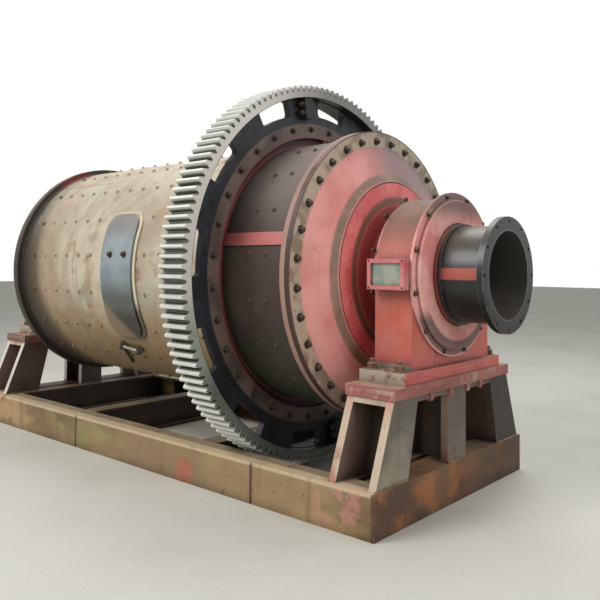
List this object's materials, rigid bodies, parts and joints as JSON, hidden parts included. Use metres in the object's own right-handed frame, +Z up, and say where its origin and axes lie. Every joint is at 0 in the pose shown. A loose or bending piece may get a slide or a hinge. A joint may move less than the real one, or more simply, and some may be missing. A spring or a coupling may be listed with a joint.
{
  "type": "ball mill",
  "caption": "Trunnion-mounted ball mill: lined drum with a girth gear, stepped heads, hollow trunnions in two pedestal bearings, on a welded base frame.",
  "frame": {"origin": "centre of the base frame, at its underside", "axes": "+X along the drum axis towards the discharge end, +Z up"},
  "size_m": [4.236, 2.2398, 2.29],
  "materials": {
    "frame_paint": "ochre paint with rust",
    "end_paint": "brown rust over old paint",
    "pedestal_paint": "cream grey paint, scraped",
    "rib_paint": "dusty brown",
    "sole_paint": "faded red paint, dusty",
    "housing_paint": "salmon red paint, dusty on top",
    "bush_metal": "bearing metal",
    "seal_paint": "pink red paint",
    "window_paint": "red paint",
    "pane_glass": "pale pane",
    "shell_paint": "cream paint with dust and rust",
    "liner_steel": "worn cast steel",
    "flange_paint": "dusty red brown",
    "gear_steel": "bright teeth, black web",
    "strip_paint": "red paint",
    "saddle_paint": "grey brown paint",
    "manhole_paint": "blue grey paint",
    "head_paint": "salmon red paint, dusty ridge",
    "trunnion_paint": "red paint, dark root",
    "spout_paint": "black paint"
  },
  "bodies": {
    "stand": {"side_beam_left": "frame_paint", "side_beam_right": "frame_paint", "side_beam_ribs": "end_paint", "discharge_end_beam": "end_paint", "feed_end_beam": "end_paint", "cross_beams": "end_paint", "discharge_pedestal_outer": "pedestal_paint", "discharge_pedestal_inner": "pedestal_paint", "discharge_pedestal_ribs": "rib_paint", "discharge_sole_plate": "sole_paint", "feed_pedestal_outer": "pedestal_paint", "feed_pedestal_inner": "pedestal_paint", "feed_pedestal_ribs": "rib_paint", "feed_sole_plate": "sole_paint", "discharge_bearing_base": "housing_paint", "discharge_bearing_cap": "housing_paint", "discharge_bush": "bush_metal", "discharge_outer_seal": "seal_paint", "discharge_inner_seal": "seal_paint", "discharge_sight_windows": "window_paint", "discharge_window_panes": "pane_glass", "feed_bearing_base": "housing_paint", "feed_bearing_cap": "housing_paint", "feed_bush": "bush_metal", "feed_outer_seal": "seal_paint", "feed_inner_seal": "seal_paint", "feed_sight_windows": "window_paint", "feed_window_panes": "pane_glass"},
    "drum": {"shell": "shell_paint", "shell_liners": "liner_steel", "gear_mounting_flange": "flange_paint", "gear_half_front": "gear_steel", "gear_half_back": "gear_steel", "shell_strips": "strip_paint", "manhole_saddle": "saddle_paint", "manhole_cover": "manhole_paint", "discharge_head": "head_paint", "discharge_trunnion": "trunnion_paint", "discharge_spout": "spout_paint", "discharge_grate": "liner_steel", "feed_head": "head_paint", "feed_trunnion": "trunnion_paint", "feed_spout": "spout_paint"}
  },
  "joints": [
    {"name": "drum_spin", "type": "hinge", "parent": "stand", "child": "drum", "pos_m": [0, 0, 1.17], "axis": [1, 0, 0], "continuous": true}
  ]
}
